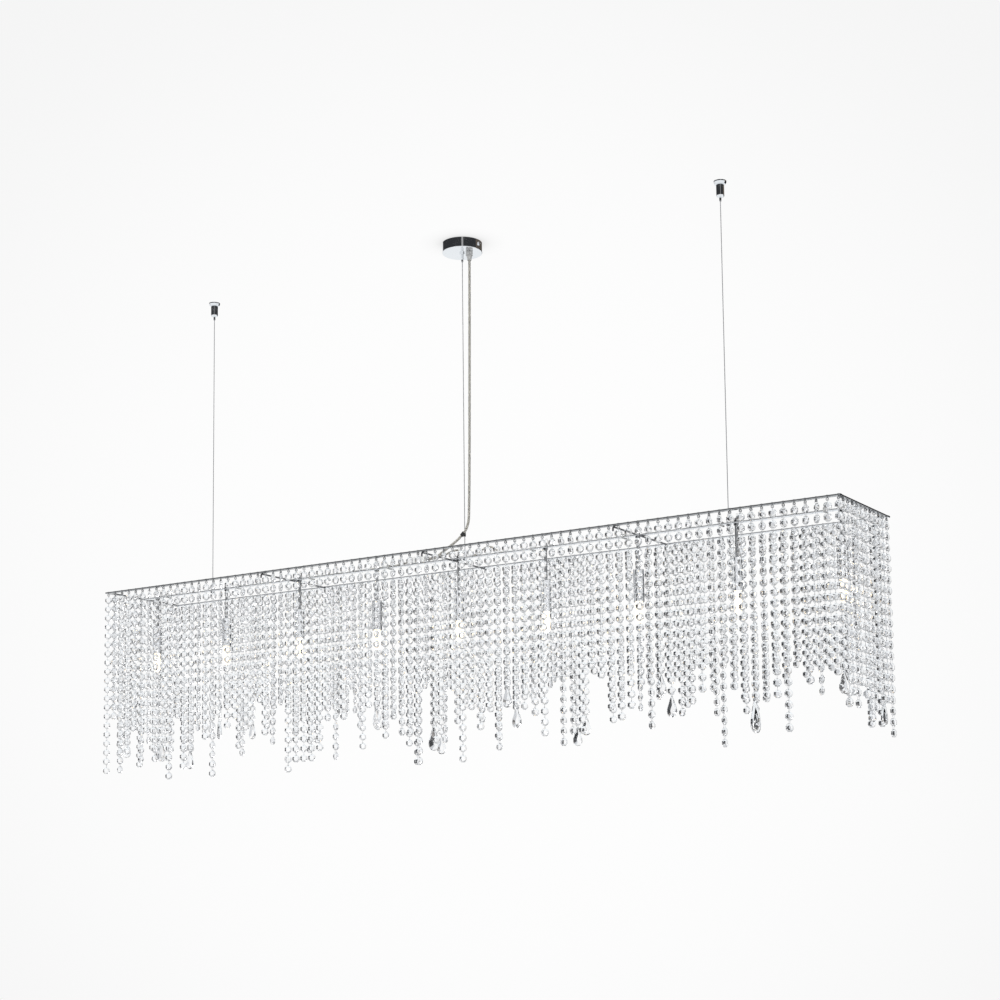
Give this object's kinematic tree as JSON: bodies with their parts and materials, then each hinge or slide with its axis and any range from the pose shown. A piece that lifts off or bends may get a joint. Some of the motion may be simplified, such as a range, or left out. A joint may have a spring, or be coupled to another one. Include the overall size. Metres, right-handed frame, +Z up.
{
  "type": "crystal chandelier",
  "caption": "Long rectangular chandelier: a wire-hung flat-bar frame with curtains of octagon crystal strands and pear drops around a row of capsule lamps.",
  "frame": {"origin": "ceiling face at the centre of the canopy", "axes": "+Z up out of the ceiling face, +X along the frame's length, -Y towards the front row"},
  "size_m": [1.6993, 0.2444, 1.0498],
  "materials": {
    "crystal": "clear cut crystal, polished",
    "chrome": "mirror chrome plate",
    "zinc_steel": "zinc plated sheet steel",
    "spring_steel": "bright spring wire",
    "wire_steel": "stranded steel wire rope",
    "clear_plastic": "clear nylon",
    "black_plastic": "black moulded plastic",
    "white_plastic": "white moulded plastic",
    "cable_sleeve": "clear outer sleeve over beige cores",
    "ceramic": "white glazed ceramic",
    "bulb_glass": "clear capsule lamp, lit"
  },
  "bodies": {
    "ceiling_fittings": {"canopy_bracket": "zinc_steel", "canopy_cup": "chrome", "canopy_screws": "chrome", "canopy_grip_body": "chrome", "canopy_grip_locknut": "chrome", "canopy_grip_spring": "spring_steel", "cable_gland": "clear_plastic", "gland_sleeve": "clear_plastic", "gland_locknut": "clear_plastic", "terminal_block": "white_plastic", "cable_tail": "cable_sleeve", "gripper_base_left": "chrome", "gripper_base_right": "chrome", "gripper_barrel_left": "chrome", "gripper_barrel_right": "chrome", "gripper_spring_left": "spring_steel", "gripper_spring_right": "spring_steel", "wire_tails": "wire_steel"},
    "left_nipple": {"gripper_nipple_left": "chrome"},
    "centre_nipple": {"canopy_grip_nipple": "chrome"},
    "right_nipple": {"gripper_nipple_right": "chrome"},
    "hanging_frame": {"wire_left": "wire_steel", "wire_centre": "wire_steel", "wire_right": "wire_steel", "wire_anchors": "chrome", "anchor_nuts": "chrome", "power_cable": "cable_sleeve", "cable_clip": "black_plastic", "splice_block": "white_plastic", "lamp_lead_left": "cable_sleeve", "lamp_lead_right": "cable_sleeve", "branch_wires": "white_plastic", "lead_ties": "clear_plastic", "rail_front": "chrome", "rail_back": "chrome", "rail_left": "chrome", "rail_right": "chrome", "rail_centre": "chrome", "cross_rod_left": "chrome", "cross_rod_centre": "chrome", "cross_rod_right": "chrome", "hook_pins": "chrome", "lamp_stems": "chrome", "stem_nuts": "chrome", "lamp_sleeves": "chrome", "lamp_holders": "ceramic", "bulbs": "bulb_glass"},
    "curtain_front": {"strands_front": "crystal", "strand_rings_front": "chrome", "drops_front": "crystal"},
    "curtain_back": {"strands_back": "crystal", "strand_rings_back": "chrome", "drops_back": "crystal"},
    "curtain_left": {"strands_left": "crystal", "strand_rings_left": "chrome", "drops_left": "crystal"},
    "curtain_right": {"strands_right": "crystal", "strand_rings_right": "chrome", "drops_right": "crystal"}
  },
  "joints": [
    {"name": "frame_sway", "type": "hinge", "parent": "ceiling_fittings", "child": "hanging_frame", "pos_m": [0, 0, -0.038], "axis": [1, 0, 0], "range_deg": [-10, 10]},
    {"name": "front_row_swing", "type": "hinge", "parent": "hanging_frame", "child": "curtain_front", "pos_m": [-0.015, -0.11, -0.6432], "axis": [1, 0, 0], "range_deg": [-12, 12]},
    {"name": "back_row_swing", "type": "hinge", "parent": "hanging_frame", "child": "curtain_back", "pos_m": [-0.015, 0.11, -0.6432], "axis": [1, 0, 0], "range_deg": [-12, 12]},
    {"name": "left_row_swing", "type": "hinge", "parent": "hanging_frame", "child": "curtain_left", "pos_m": [-0.855, 0, -0.6432], "axis": [0, 1, 0], "range_deg": [0, 12]},
    {"name": "right_row_swing", "type": "hinge", "parent": "hanging_frame", "child": "curtain_right", "pos_m": [0.825, 0, -0.6432], "axis": [0, -1, 0], "range_deg": [0, 12]},
    {"name": "left_nipple_press", "type": "slide", "parent": "ceiling_fittings", "child": "left_nipple", "axis": [0, 0, 1], "range_m": [0, 0.003], "stiffness_N_per_m": 120, "springref_m": -0.003, "deforming": ["gripper_spring_left"]},
    {"name": "centre_nipple_press", "type": "slide", "parent": "ceiling_fittings", "child": "centre_nipple", "axis": [0, 0, 1], "range_m": [0, 0.003], "stiffness_N_per_m": 120, "springref_m": -0.003, "deforming": ["canopy_grip_spring"]},
    {"name": "right_nipple_press", "type": "slide", "parent": "ceiling_fittings", "child": "right_nipple", "axis": [0, 0, 1], "range_m": [0, 0.003], "stiffness_N_per_m": 120, "springref_m": -0.003, "deforming": ["gripper_spring_right"]}
  ]
}
